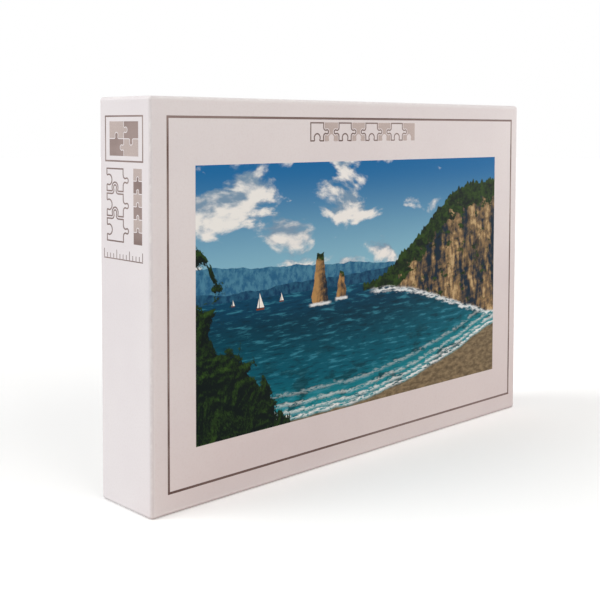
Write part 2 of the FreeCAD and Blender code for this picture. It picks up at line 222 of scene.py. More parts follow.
def coast(graph, u, v):
    """A made-up rocky bay. u runs from 0 to 1.77 and v from 0 to 1."""
    g = graph
    # Sky with fair-weather clouds, thinner towards the horizon.
    sky = g.blend(g.ramp(v, HORIZON - 0.05, 1.02), rgb(150, 204, 222), rgb(24, 108, 168))
    puffs = g.noise(u, v * 1.9, 0.3, 3.1, 9.0, 0.55, 0.25)
    lower = g.noise(u + 0.015, v * 1.9 - 0.06, 0.3, 3.1, 9.0, 0.55, 0.25)
    band = g.ramp(v, 0.60, 0.80) * g.ramp(u, 1.25, 0.75)
    cloud = g.ramp(puffs + band * 0.10, 0.56, 0.65)
    lit = g.ramp(puffs - lower, -0.07, 0.06)
    puff_colour = g.blend(lit, rgb(128, 158, 184), rgb(250, 250, 246))
    colour = g.blend(cloud * 0.96, sky, puff_colour)

    # Far blue headlands.
    for height, slope, seed, near, haze in (
            (0.085, -0.055, 4.0, rgb(40, 98, 136), rgb(78, 136, 164)),
            (0.050, 0.020, 9.0, rgb(10, 56, 90), rgb(40, 94, 124))):
        peaks = g.noise(u, seed, 0.0, 5.5, 7.0, 0.5)
        line = HORIZON + height + (u - 0.9) * slope + peaks * 0.075 - 0.04
        facets = g.noise(u * 1.6, v * 1.1, seed, 26.0, 5.0, 0.6)
        rock = g.blend(g.ramp(facets, 0.35, 0.65), near, haze)
        colour = g.blend(g.ramp(line - v, -0.0015, 0.0015), colour, rock)

    # The sea: deep teal far out, turquoise over the shallows.
    shore = -0.02 + 0.16 * (u - 0.60) * (u - 0.60) + g.noise(u, 3.0, 0.0, 4.0, 3.0) * 0.06
    depth = v - shore
    sea = g.blend(g.ramp(depth, 0.0, 0.16), rgb(30, 146, 158), rgb(4, 92, 112))
    sea = g.blend(g.ramp(depth, 0.14, 0.40), sea, rgb(0, 54, 74))
    sea = g.blend(g.ramp(v, HORIZON - 0.13, HORIZON), sea, rgb(4, 66, 96))
    swell = g.noise(u * 2.2, (v - HORIZON) * 13.0, 1.0, 5.0, 8.0, 0.62)
    sea = g.blend(g.ramp(swell, 0.52, 0.68) * 0.55, sea, rgb(72, 160, 184))
    sea = g.blend(g.ramp(swell, 0.48, 0.34) * 0.55, sea, rgb(0, 30, 44))
    reef = g.noise(u, v * 2.4, 5.0, 7.0, 6.0, 0.6)
    sea = g.blend(g.ramp(reef, 0.52, 0.62) * g.ramp(depth, 0.36, 0.06) * 0.75, sea, rgb(0, 46, 54))
    surf_noise = g.noise(u, v * 3.5, 2.0, 26.0, 6.0, 0.62)
    sand_wet = g.noise(u, v * 2.0, 8.0, 30.0, 6.0, 0.6)
    sand = g.blend(g.ramp(sand_wet, 0.3, 0.7), rgb(96, 84, 66), rgb(150, 134, 104))
    ground = g.blend(g.ramp(depth, -0.012, 0.002), sand, sea)
    for offset, strength in ((0.004, 1.0), (0.026, 0.75), (0.055, 0.55), (0.095, 0.35)):
        crest = depth - offset - (surf_noise - 0.5) * 0.05
        foam = inside(g, crest, -0.006, 0.006, 0.006) * g.ramp(surf_noise, 0.38, 0.55) * strength
        ground = g.blend(foam, ground, rgb(244, 250, 250))
    colour = g.blend(g.ramp(HORIZON - v, -0.001, 0.001), colour, ground)

    # The headland on the right: sunlit ochre rock under dark green pines.
    crown = 0.50 + 0.40 * g.ramp(u, 0.86, 1.62)
    crown = crown + (g.noise(u, 1.5, 0.0, 6.0, 8.0, 0.55) - 0.5) * 0.16
    foot = 0.47 - 0.20 * g.ramp(u, 0.95, 1.9)
    foot = foot + (g.noise(u, 6.5, 0.0, 9.0, 6.0, 0.6) - 0.5) * 0.05
    cracks = g.noise(u * 1.5, v * 0.8, 3.0, 10.0, 10.0, 0.68, 0.25)
    shifted = g.noise(u * 1.5 + 0.014, v * 0.8 + 0.010, 3.0, 10.0, 10.0, 0.68, 0.25)
    layers = g.noise(u * 0.8 + v * 0.4, v * 5.0 - u * 1.2, 6.0, 9.0, 6.0, 0.6)
    broad = g.noise(u * 1.2 + 0.02, v * 0.6, 5.5, 4.0, 3.0, 0.5)
    broad = broad - g.noise(u * 1.2, v * 0.6, 5.5, 4.0, 3.0, 0.5)
    face_light = g.ramp((shifted - cracks) * 1.7 + (layers - 0.5) * 0.45 + broad * 4.0, -0.22, 0.34)
    cliff = g.blend(face_light, rgb(8, 34, 52), rgb(168, 138, 94))
    cliff = g.blend(g.ramp(face_light, 0.75, 1.0) * 0.6, cliff, rgb(214, 190, 146))
    cliff = g.blend(g.ramp(cracks, 0.43, 0.35) * 0.85, cliff, rgb(8, 18, 30))
    bushes = g.noise(u, v * 1.4, 7.0, 20.0, 7.0, 0.62)
    high = g.ramp(crown - v, 0.17, 0.015)
    green = g.ramp(bushes + high * 0.36, 0.56, 0.64)
    leaf = g.noise(u, v, 2.0, 62.0, 5.0, 0.7)
    clump = g.noise(u, v * 1.3, 4.4, 24.0, 4.0, 0.6)
    wood = g.blend(g.ramp(leaf * 0.5 + clump * 0.6, 0.42, 0.70), rgb(1, 14, 12), rgb(48, 74, 26))
    cliff = g.blend(green, cliff, wood)
    spires = g.cells(u, v * 0.18, 70.0) * 0.030
    edge = crown - v + 0.012 - spires * high
    body = g.ramp(edge, -0.001, 0.003) * g.ramp(v - foot, -0.002, 0.004) * g.ramp(u, 0.86, 0.875)
    colour = g.blend(body, colour, cliff)
    spray = v - foot + (surf_noise - 0.5) * 0.04
    wash = inside(g, spray, -0.016, 0.004, 0.006) * g.ramp(u, 0.90, 0.96)
    wash = wash * g.ramp(surf_noise, 0.36, 0.56)
    colour = g.blend(wash * 0.9, colour, rgb(240, 248, 250))

    # Two sea stacks in the bay.
    for middle, width, base, top in ((0.62, 0.040, 0.445, 0.645), (0.74, 0.024, 0.455, 0.565)):
        taper = 1.15 - g.ramp(v, base, top) * 0.55
        wobble = (g.noise(u, v, 4.0, 16.0, 7.0, 0.6) - 0.5) * 0.035
        across = g.math("ABSOLUTE", u - middle + wobble)
        roof = top + (g.noise(u, 2.2, 0.0, 30.0, 5.0) - 0.5) * 0.05
        stack = g.ramp(width * taper - across, 0.0, 0.003) * g.ramp(roof - v, 0.0, 0.004)
        stack = stack * g.ramp(v, base - 0.003, base + 0.003)
        relief = (shifted - cracks) * 1.6 + (middle - u) * 7.0 + (layers - 0.5) * 0.5
        side_light = g.ramp(relief, -0.35, 0.25)
        stone = g.blend(side_light, rgb(18, 34, 48), rgb(182, 142, 90))
        stone = g.blend(g.ramp(v + (bushes - 0.5) * 0.10, top - 0.035, top - 0.015), stone, wood)
        colour = g.blend(stack, colour, stone)
        collar = inside(g, v - base + (surf_noise - 0.5) * 0.02, -0.010, 0.002, 0.004)
        collar = collar * g.ramp(g.math("ABSOLUTE", u - middle), width * 1.7, width * 1.1)
        colour = g.blend(collar * 0.9, colour, rgb(240, 248, 250))

    # White sails far out.
    for middle, foot_v, tall in ((0.30, 0.462, 0.060), (0.41, 0.478, 0.034), (0.17, 0.484, 0.026)):
        rise = (v - foot_v) / tall
        lean = u - middle
        sail = g.ramp(tall * 0.42 * (1.0 - rise) - lean, 0.0, 0.0015) * g.ramp(lean, 0.0, 0.0012)
        jib = g.ramp(tall * 0.26 * (0.85 - rise) + lean, 0.0, 0.0015)
        jib = jib * g.ramp(lean, -0.0020, -0.0032)
        up = g.ramp(rise, 0.0, 0.04) * g.ramp(rise, 1.0, 0.98)
        hull = inside(g, v - foot_v, -tall * 0.13, -tall * 0.02, 0.001)
        hull = hull * inside(g, lean, -tall * 0.26, tall * 0.40, 0.002)
        colour = g.blend(hull, colour, rgb(120, 62, 40))
        colour = g.blend(g.math("MAXIMUM", sail, jib) * up, colour, rgb(250, 248, 240))

    # Pine branches in the near left corner, lit on their upper sides.
    branch = g.noise(u * 1.3, v * 1.1, 9.0, 6.0, 9.0, 0.62, 0.5)
    above = g.noise(u * 1.3 - 0.008, v * 1.1 + 0.016, 9.0, 6.0, 9.0, 0.62, 0.5)
    near = g.ramp(u + v * 0.55, 0.62, 0.10) + g.ramp(v + u * 0.55, 0.44, 0.10) * 0.9
    needles = g.noise(u * 2.0 + v, v * 1.2 - u, 3.0, 60.0, 5.0, 0.7)
    twig = g.ramp(branch + near * 0.30 + (needles - 0.5) * 0.12, 0.66, 0.69)
    twig = twig * g.ramp(near, 0.05, 0.25)
    bright = g.ramp((branch - above) * 2.4 + (needles - 0.5) * 0.8, -0.10, 0.42)
    tint = g.blend(bright, rgb(1, 14, 12), rgb(50, 80, 30))
    colour = g.blend(twig, colour, tint)
    return colour


# ---- materials ----
def new_material(name):
    """A new material, with the graph and the shader that its look is fed to."""
    made = bpy.data.materials.new(name)
    made.use_nodes = True
    made.node_tree.nodes.clear()
    graph = Graph(made.node_tree)
    shader = graph.node("ShaderNodeBsdfPrincipled")
    out = graph.node("ShaderNodeOutputMaterial")
    graph.tree.links.new(shader.outputs[0], out.inputs[0])
    return made, graph, shader


def object_place(graph):
    """The three Object coordinates of a point, in metres."""
    source = graph.node("ShaderNodeTexCoord")
    parts = graph.node("ShaderNodeSeparateXYZ")
    graph.tree.links.new(source.outputs["Object"], parts.inputs[0])
    return [Value(graph, socket) for socket in parts.outputs]


def uv_place(graph):
    """Where a point of a loose piece lies in the picture, as coast() counts it."""
    source = graph.node("ShaderNodeUVMap", uv_map="cut")
    parts = graph.node("ShaderNodeSeparateXYZ")
    graph.tree.links.new(source.outputs[0], parts.inputs[0])
    return [Value(graph, socket) for socket in parts.outputs][:2]


def bump(graph, shader, height, distance, strength):
    """Fine relief: the distance is what a height of 1 stands for."""
    made = graph.node("ShaderNodeBump")
    made.inputs["Strength"].default_value = strength
    made.inputs["Distance"].default_value = distance
    graph.feed(made.inputs["Height"], height)
    graph.tree.links.new(made.outputs[0], shader.inputs["Normal"])


def lid_paper():
    """Satin printed paper, rubbed a little lighter along the folded edges."""
    made, g, shader = new_material("lid_paper")
    x, y, z = object_place(g)
    cloud = g.noise(x, y, z, 14.0, 4.0, 0.55)
    fibre = g.noise(x, y, z, 900.0, 3.0, 0.6)
    grain = g.noise(x, y, z, 2600.0, 2.0, 0.5)
    colour = g.blend(g.ramp(cloud, 0.3, 0.7), rgb(224, 217, 219), rgb(229, 223, 224))
    colour = g.blend(g.ramp(fibre, 0.45, 0.75) * 0.22, colour, rgb(214, 203, 202))
    near_x = g.ramp(g.math("ABSOLUTE", x), RIGHT - FOLD_FROM, RIGHT - FOLD_FULL)
    near_y = g.ramp(y, FRONT + FOLD_FROM, FRONT + FOLD_FULL)
    near_z = g.ramp(g.math("ABSOLUTE", z - TOP / 2), TOP / 2 - FOLD_FROM, TOP / 2 - FOLD_FULL)
    fold = g.math("MAXIMUM", near_x * near_y, g.math("MAXIMUM", near_x * near_z, near_y * near_z))
    rubbed = fold * g.ramp(g.noise(x, y, z, 160.0, 5.0, 0.7), 0.44, 0.66)
    colour = g.blend(rubbed * 0.65, colour, rgb(246, 242, 240))
    g.tree.links.new(colour, shader.inputs["Base Color"])
    g.feed(shader.inputs["Roughness"], g.ramp(fibre, 0.2, 0.8, 0.40, 0.50))
    shader.inputs["Specular IOR Level"].default_value = 0.42
    bump(g, shader, cloud * 0.6 + fibre * 0.05 + grain * 0.02, 0.25 * MM, 0.5)
    return made


def printed_picture():
    """Offset print of the coast under a satin varnish."""
    made, g, shader = new_material("printed_picture")
    x, y, z = object_place(g)
    u = (x - PICTURE_X) / PICTURE_HIGH
    v = (z - PICTURE_Z) / PICTURE_HIGH
    g.tree.links.new(coast(g, u, v), shader.inputs["Base Color"])
    grain = g.noise(x, y, z, 900.0, 3.0, 0.6)
    g.feed(shader.inputs["Roughness"], g.ramp(grain, 0.2, 0.8, 0.34, 0.46))
    shader.inputs["Specular IOR Level"].default_value = 0.08
    bump(g, shader, g.noise(x, y, z, 14.0, 4.0, 0.55) * 0.6 + grain * 0.05, 0.25 * MM, 0.5)
    return made


def brown_foil():
    """Hot-stamped foil: dark brown, with a painted sheen of lighter streaks, lighter towards the
    right end of the upper band and line and on the left side, and small breaks in its shine.
    """
    made, g, shader = new_material("brown_foil")
    x, y, z = object_place(g)
    # Painted sheen: lighter streaks, a lighter right end of the band and top line, and a lighter
    # tone on the left side.
    painted_sheen_streaks = g.noise(x * 0.5, y * 2.0, z * 3.0, 12.0, 3.0, 0.5)
    speck = g.noise(x, y, z, 1500.0, 3.0, 0.6)
    painted_sheen_right = g.ramp(x, -0.05, 0.06) * g.ramp(z, 0.200, 0.204) * g.ramp(z, 0.220, 0.2195)
    painted_sheen_left_side = g.ramp(x, LEFT + 1.0 * MM, LEFT + 0.5 * MM)
    tone_with_painted_sheen = g.ramp(painted_sheen_streaks, 0.35, 0.68) * 0.55 + painted_sheen_right * 0.40 + painted_sheen_left_side * 0.30
    colour = g.blend(tone_with_painted_sheen, rgb(84, 58, 52), rgb(150, 132, 127))
    colour = g.blend(g.ramp(speck, 0.56, 0.72) * 0.45, colour, rgb(126, 108, 104))
    g.tree.links.new(colour, shader.inputs["Base Color"])
    g.feed(shader.inputs["Roughness"], g.ramp(speck, 0.25, 0.75, 0.32, 0.52))
    shader.inputs["Metallic"].default_value = 0.35
    bump(g, shader, speck, 0.02 * MM, 0.4)
    return made


def light_foil():
    """The same foil in a pale warm grey."""
    made, g, shader = new_material("light_foil")
    x, y, z = object_place(g)
    speck = g.noise(x, y, z, 1500.0, 3.0, 0.6)
    colour = g.blend(g.ramp(speck, 0.4, 0.7), rgb(168, 152, 147), rgb(184, 170, 165))
    g.tree.links.new(colour, shader.inputs["Base Color"])
    g.feed(shader.inputs["Roughness"], g.ramp(speck, 0.25, 0.75, 0.36, 0.54))
    shader.inputs["Metallic"].default_value = 0.3
    bump(g, shader, speck, 0.02 * MM, 0.4)
    return made


def greyboard():
    """Pressed waste-paper board: grey, flecked, with a soft fibrous face."""
    made, g, shader = new_material("greyboard")
    x, y, z = object_place(g)
    patches = g.noise(x, y, z, 160.0, 5.0, 0.6)
    fibre = g.noise(x, y, z * 3.5, 520.0, 4.0, 0.65, 0.6)
    fleck = g.noise(x, y, z, 1100.0, 2.0, 0.5)
    colour = g.blend(g.ramp(patches, 0.3, 0.7), rgb(164, 157, 147), rgb(176, 169, 159))
    colour = g.blend(g.ramp(fibre, 0.55, 0.75) * 0.5, colour, rgb(120, 114, 106))
    colour = g.blend(g.ramp(fleck, 0.68, 0.74), colour, rgb(92, 90, 92))
    colour = g.blend(g.ramp(fleck, 0.30, 0.24), colour, rgb(206, 202, 194))
    g.tree.links.new(colour, shader.inputs["Base Color"])
    g.feed(shader.inputs["Roughness"], g.ramp(fibre, 0.2, 0.8, 0.82, 0.95))
    shader.inputs["Specular IOR Level"].default_value = 0.25
    bump(g, shader, fibre + patches * 0.3, 0.12 * MM, 0.7)
    return made


def plain_paper():
    """Uncoated white liner, a little creamy, glued over the base tray."""
    made, g, shader = new_material("plain_paper")
    x, y, z = object_place(g)
    cloud = g.noise(x, y, z, 22.0, 5.0, 0.6)
    fibre = g.noise(x * 2.5, y, z, 700.0, 4.0, 0.65, 0.4)
    colour = g.blend(g.ramp(cloud, 0.3, 0.7), rgb(230, 228, 223), rgb(236, 234, 229))
    colour = g.blend(g.ramp(fibre, 0.52, 0.72) * 0.4, colour, rgb(212, 208, 201))
    g.tree.links.new(colour, shader.inputs["Base Color"])
    g.feed(shader.inputs["Roughness"], g.ramp(fibre, 0.2, 0.8, 0.66, 0.8))
    shader.inputs["Specular IOR Level"].default_value = 0.3
    bump(g, shader, cloud * 0.4 + fibre * 0.12, 0.2 * MM, 0.5)
    return made


def kraft_tape():
    """Brown gummed paper tape."""
    made, g, shader = new_material("kraft_tape")
    x, y, z = object_place(g)
    fibre = g.noise(x * 3.0, y, z, 600.0, 5.0, 0.65, 0.5)
    patches = g.noise(x, y, z, 90.0, 4.0, 0.6)
    colour = g.blend(g.ramp(fibre, 0.35, 0.7), rgb(176, 140, 98), rgb(204, 172, 128))
    colour = g.blend(g.ramp(patches, 0.4, 0.7) * 0.3, colour, rgb(154, 118, 80))
    g.tree.links.new(colour, shader.inputs["Base Color"])
    g.feed(shader.inputs["Roughness"], g.ramp(fibre, 0.2, 0.8, 0.6, 0.78))
    bump(g, shader, fibre, 0.06 * MM, 0.6)
    return made


def piece_print():
    """The picture on the loose pieces: the same coast, with an embossed linen finish."""
    made, g, shader = new_material("piece_print")
    u, v = uv_place(g)
    g.tree.links.new(coast(g, u, v), shader.inputs["Base Color"])
    linen = g.math("SINE", u * 2600.0) * 0.5 + g.math("SINE", v * 2600.0) * 0.5
    grain = g.noise(u, v, 0.0, 240.0, 3.0, 0.6)
    g.feed(shader.inputs["Roughness"], g.ramp(grain, 0.2, 0.8, 0.30, 0.46))
    bump(g, shader, linen * 0.5 + grain, 0.05 * MM, 0.5)
    return made


def piece_back():
    """The blue-grey bare side of a loose piece."""
    made, g, shader = new_material("piece_back")
    u, v = uv_place(g)
    fibre = g.noise(u, v, 0.0, 150.0, 5.0, 0.65)
    patches = g.noise(u, v, 4.0, 14.0, 4.0, 0.6)
    colour = g.blend(g.ramp(patches, 0.3, 0.7), rgb(128, 146, 156), rgb(146, 162, 170))
    colour = g.blend(g.ramp(fibre, 0.52, 0.70) * 0.45, colour, rgb(104, 118, 128))
    g.tree.links.new(colour, shader.inputs["Base Color"])
    g.feed(shader.inputs["Roughness"], g.ramp(fibre, 0.2, 0.8, 0.7, 0.85))
    bump(g, shader, fibre, 0.08 * MM, 0.5)
    return made


def clear_film():
    """Thin clear film: almost invisible face on, with painted highlights as white lines along its
    creases.
    """
    made, g, shader = new_material("clear_film")
    x, y, z = object_place(g)
    crease = g.noise(x * 1.3, y, z, 46.0, 6.0, 0.6, 0.8)
    # Painted highlights: whiter, less clear lines along the creases.
    line = inside(g, crease, 0.485, 0.505, 0.012)
    haze = g.noise(x, y, z, 30.0, 3.0, 0.5)
    colour = g.blend(haze, rgb(226, 234, 238), rgb(244, 248, 250))
    g.tree.links.new(colour, shader.inputs["Base Color"])
    g.feed(shader.inputs["Roughness"], g.ramp(haze, 0.3, 0.7, 0.06, 0.16))
    g.feed(shader.inputs["Alpha"], line * 0.20 + g.ramp(haze, 0.3, 0.8, 0.07, 0.14))
    bump(g, shader, crease + haze * 0.5, 1.2 * MM, 0.6)
    return made


MATERIAL = {
    "lid_wrap": lid_paper(), "lid_board": greyboard(), "lid_corner_stays": kraft_tape(),
    "base_wrap": plain_paper(), "picture": printed_picture(), "foil": brown_foil(),
    "pale_foil": light_foil(), "film": clear_film(), "piece_print": piece_print(),
    "piece_back": piece_back(),
}
MATERIAL["base_board"] = MATERIAL["piece_edge"] = MATERIAL["lid_board"]
MATERIAL["base_corner_stays"] = MATERIAL["lid_corner_stays"]


# ---- meshes ----
def finish_piece(name, bm, body, slot, *materials, smooth=False):
    """Turns the mesh into an object that moves with a body."""
    mesh = bpy.data.meshes.new(name)
    bm.to_mesh(mesh)
    bm.free()
    for material in materials:
        mesh.materials.append(material)
    made = bpy.data.objects.new(name, mesh)
    bpy.context.scene.collection.objects.link(made)
    if smooth:
        mesh.shade_smooth()
    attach(made, body)
    return made


def dress(node, material):
    """Puts one material on a CAD node that stays as it is."""
    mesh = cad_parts[node].data
    mesh.materials.clear()
    mesh.materials.append(material)


def lid_sheet():
    """The lid's paper: the CAD shape, a print layer thinner on the two decorated faces."""
    bm = bmesh.new()
    bm.from_mesh(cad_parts["lid_wrap"].data)
    bmesh.ops.remove_doubles(bm, verts=bm.verts, dist=TOUCH)
    for vertex in bm.verts:
        if vertex.co.y < FRONT + TOUCH:
            vertex.co.y += INK
        if vertex.co.x < LEFT + TOUCH:
            vertex.co.x += INK
    # Each flat outer face is one face with a narrow border, which keeps it flat beside its folds.
    for axis, place in ((0, LEFT + INK), (0, RIGHT), (1, FRONT + INK), (2, 0.0), (2, TOP)):
        flat = [
            face for face in bm.faces
            if all(abs(vertex.co[axis] - place) < TOUCH for vertex in face.verts)]
        whole = bmesh.ops.dissolve_faces(bm, faces=flat)["region"]
        bmesh.ops.inset_individual(bm, faces=whole, thickness=FLAT_BORDER, use_even_offset=True)
    sheet = finish_piece("lid_paper_sheet", bm, "lid", "printed_paper", MATERIAL["lid_wrap"])
    sheet.data.shade_smooth()
    sheet.data.set_sharp_from_angle(angle=SHARP_ANGLE)
    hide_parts("lid_wrap")


def on_front(a, b):
    """A place on the picture side, in millimetres to the right of the middle and up."""
    return Vector((a * MM, FRONT, b * MM))


def on_left(a, b):
    """A place on the left side, in millimetres to the front of the middle and up."""
    return Vector((LEFT, -a * MM, b * MM))


def print_layer(bm, place, outline, gap=0.0, line=0.0):
    """A flat patch of ink or foil inside the outline, that gap in from it. With a line, only
    a line of that width round the patch."""
    face = bm.faces.new([bm.verts.new(place(a, b)) for a, b in outline])
    face.normal_update()
    for width, spare in ((gap, "ring"), (line, "middle")):
        if width:
            ring = bmesh.ops.inset_region(
                bm, faces=[face], thickness=width * MM, use_boundary=True, use_even_offset=True)
            if spare == "ring":
                bmesh.ops.delete(bm, geom=ring["faces"], context="FACES")
            else:
                bmesh.ops.delete(bm, geom=[face], context="FACES_ONLY")


def finish_print(name, bm, material):
    """Gives the patches the thickness of a print layer, into the lid, and closes them."""
    bm.normal_update()
    bmesh.ops.solidify(bm, geom=bm.faces[:], thickness=INK)
    return finish_piece(name, bm, "lid", "printed_paper", material)


def rectangle(low_a, low_b, high_a, high_b):
    """Its corners in order, from the lower left one."""
    return [(low_a, low_b), (high_a, low_b), (high_a, high_b), (low_a, high_b)]


def arc(centre, radius, first, last, steps):
    """Points on a circle from one angle to another."""
    angles = [first + (last - first) * n / steps for n in range(steps + 1)]
    return [(centre[0] + radius * math.cos(t), centre[1] + radius * math.sin(t)) for t in angles]


def knob_profile(head=0.155, neck=0.09, lift=0.2):
    """A knob on a side of length 1: two neck fillets and a round head, as points along it."""
    spread = math.sqrt((head + neck) ** 2 - (lift - neck) ** 2)
    join = math.atan2(lift - neck, spread)
    rise = arc((0.5 - spread, neck), neck, -math.pi / 2, join, 3)
    over = arc((0.5, lift), head, math.pi + join, -join, 12)[1:-1]
    fall = [(1.0 - a, b) for a, b in reversed(rise)]
    return rise + over + fall


def cut_side(start, end, knob, reach):
    """The points from start up to end. knob is 1 for out, -1 for in and 0 for a straight side.
    reach is the length that the knob's size follows."""
    points = [start]
    if knob:
        long = math.dist(start, end)
        ax, ay = (end[0] - start[0]) / long, (end[1] - start[1]) / long
        for a, b in knob_profile():
            along, out = long / 2 + (a - 0.5) * reach, b * reach * knob
            points.append((start[0] + ax * along + ay * out, start[1] + ay * along - ax * out))
    return points


def jigsaw_outline(low_a, low_b, wide, high, knobs):
    """A piece in that rectangle. knobs are for its bottom, right, top and left sides."""
    corners = rectangle(low_a, low_b, low_a + wide, low_b + high)
    points = []
    for start, end, knob in zip(corners, corners[1:] + corners[:1], knobs):
        points += cut_side(start, end, knob, min(wide, high))
    return points


def picture_print():
    bm = bmesh.new()
    left, low = PICTURE_X / MM, PICTURE_Z / MM
    print_layer(bm, on_front, rectangle(
        left, low, left + PICTURE_LONG / MM, low + PICTURE_HIGH / MM))
    finish_print("lid_picture", bm, MATERIAL["picture"])


def face_line():
    bm = bmesh.new()
    print_layer(bm, on_front, rectangle(*FACE_LINE), line=FACE_LINE_WIDE)
    finish_print("lid_face_line", bm, MATERIAL["foil"])


def band_of_pieces():
    """A strip of joined pieces above the picture, by turns in dark outline and pale solid."""
    dark, pale = bmesh.new(), bmesh.new()
    for number in range(BAND_PIECES):
        turn = (-1) ** number
        right = 0 if number == BAND_PIECES - 1 else turn
        left = 0 if number == 0 else turn
        outline = jigsaw_outline(
            BAND_MIDDLE + (number - BAND_PIECES / 2) * BAND_PIECE_WIDE, BAND_LOW,
            BAND_PIECE_WIDE, BAND_PIECE_HIGH, (-1, right, 0, left))
        if number % 2:
            print_layer(pale, on_front, outline, gap=WIDE_GAP)
        else:
            print_layer(dark, on_front, outline, gap=NARROW_GAP, line=OUTLINE_WIDE)
    finish_print("lid_band_outlines", dark, MATERIAL["foil"])
    finish_print("lid_band_solids", pale, MATERIAL["pale_foil"])


def side_prints():
    """On the left side: four joined pieces in a frame, two columns of pieces and a rule."""
    dark, pale = bmesh.new(), bmesh.new()
    print_layer(dark, on_left, rectangle(*SIDE_FRAME), line=SIDE_FRAME_WIDE)
    middle_a, middle_b = (SIDE_FRAME[0] + SIDE_FRAME[2]) / 2, (SIDE_FRAME[1] + SIDE_FRAME[3]) / 2
    for column in (0, 1):
        for row in (0, 1):
            turn = 1 if column == row else -1
            knobs = (
                turn if row else 0, 0 if column else -turn,
                0 if row else turn, -turn if column else 0)
            outline = jigsaw_outline(
                middle_a + (column - 1) * FRAMED_WIDE, middle_b + (row - 1) * FRAMED_HIGH,
                FRAMED_WIDE, FRAMED_HIGH, knobs)
            print_layer(dark if turn > 0 else pale, on_left, outline, gap=NARROW_GAP)
    for number in range(LARGE_PIECES):
        knobs = (-1 if number else 0, 1, 1 if number < LARGE_PIECES - 1 else 0, -1)
        outline = jigsaw_outline(
            LARGE_LEFT, COLUMNS_LOW + number * LARGE_HIGH, LARGE_WIDE, LARGE_HIGH, knobs)
        print_layer(dark, on_left, outline, gap=WIDE_GAP, line=OUTLINE_WIDE)
    for number in range(SMALL_PIECES):
        knobs = (-1 if number else 0, 0, 1 if number < SMALL_PIECES - 1 else 0, 0)
        outline = jigsaw_outline(
            SMALL_LEFT, COLUMNS_LOW + number * SMALL_HIGH, SMALL_WIDE, SMALL_HIGH, knobs)
        print_layer(pale if number % 2 else dark, on_left, outline, gap=NARROW_GAP)
    print_layer(dark, on_left, rectangle(*RULE))
    first, _, last, top = RULE
    foot = top + TICK_GAP
    for number in range(TICKS):
        tall = TICK_SHORT if number % LONG_EVERY else TICK_LONG
        low_a = first + number * (last - first - TICK_WIDE) / (TICKS - 1)
        print_layer(dark, on_left, rectangle(low_a, foot, low_a + TICK_WIDE, foot + tall))
    finish_print("side_ornaments", dark, MATERIAL["foil"])
    finish_print("side_ornaments_pale", pale, MATERIAL["pale_foil"])


# ---- loose pieces ----
def caps_of(mesh):
    """The flat faces of the pieces that look to the front: for each, its outline and its normal."""
    bm = bmesh.new()
    bm.from_mesh(mesh)
    bm.faces.ensure_lookup_table()
    seen = set()
    caps = []
    for first in bm.faces:
        if first.index in seen:
            continue
        seen.add(first.index)
        region, queue = [first], [first]
        while queue:
            for edge in queue.pop().edges:
                for face in edge.link_faces:
                    if face.index not in seen and face.normal.dot(first.normal) > 0.9999:
                        seen.add(face.index)
                        region.append(face)
                        queue.append(face)
        if first.normal.y < -0.5 and sum(f.calc_area() for f in region) > CAP_AREA:
            caps.append((outline_of(region), first.normal.copy()))
    bm.free()
    return caps


def outline_of(region):
    """The outer loop of a patch of faces, as points in order."""
    inner = set(region)
    after = {}
    for face in region:
        for loop in face.loops:
            if not any(other in inner for other in loop.edge.link_faces if other is not face):
                after[loop.vert] = loop.link_loop_next.vert
    start = next(iter(after))
    points, here = [start.co.copy()], after[start]
    while here is not start:
        points.append(here.co.copy())
        here = after[here]
    return points


def thinned(points, tolerance):
    """The outline with the points that hardly bend it left out."""
    def split(first, last):
        if last - first < 2:
            return []
        a, b = points[first], points[last]
        along = (b - a).normalized()
        gaps = [(p - a - along * (p - a).dot(along)).length for p in points[first + 1:last]]
        worst = max(gaps)
        if worst < tolerance:
            return []
        middle = first + 1 + gaps.index(worst)
        return split(first, middle) + [middle] + split(middle, last)

    far = max(range(len(points)), key=lambda n: (points[n] - points[0]).length)
    points = points + [points[0]]
    kept = [0] + split(0, far) + [far] + split(far, len(points) - 1)
    return [points[n] for n in kept]


def loose_row(number):
    """One row of the puzzle, each piece where the CAD has it, with its own part of the picture."""
    node = f"puzzle_row_{number + 1:02d}"
    dice = random.Random(number)
    bm = bmesh.new()
    cut = bm.loops.layers.uv.new("cut")
    caps = sorted(caps_of(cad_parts[node].data), key=lambda cap: cap[0][0].x)
    for place, (outline, normal) in enumerate(caps):
        outline = thinned(outline, OUTLINE_SLACK)
        middle = sum(outline, Vector()) / len(outline)
        turned = Matrix.Rotation(dice.uniform(0, math.tau), 3, normal)
        right = turned @ normal.orthogonal().normalized()
        up = normal.cross(right)
        column = (place * 7 + number * 3) % ROW_LONG
        centre_u = (column + 0.5) / ROW_LONG * PICTURE_LONG / PICTURE_HIGH
        centre_v = (number + 0.5) / ROWS
        face = bm.faces.new([bm.verts.new(point) for point in outline])
        face.material_index = PRINT_UP if dice.random() < PRINT_UP_SHARE else BACK_UP
        for loop in face.loops:
            away = loop.vert.co - middle
            loop[cut].uv = (
                centre_u + away.dot(right) / PUZZLE_HIGH, centre_v + away.dot(up) / PUZZLE_HIGH)
    bm.normal_update()
    bmesh.ops.solidify(bm, geom=bm.faces[:], thickness=PIECE_THICK)
    bm.normal_update()
    for face in bm.faces:
        if face.calc_area() < CAP_AREA:
            face.material_index = CUT_EDGE
        elif face.normal.y > 0:
            face.material_index = BACK_UP if face.material_index == PRINT_UP else PRINT_UP
    row = finish_piece(
        f"loose_pieces_{number + 1:02d}", bm, "contents", "puzzle_board",
        MATERIAL["piece_print"], MATERIAL["piece_back"], MATERIAL["piece_edge"])
    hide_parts(node)


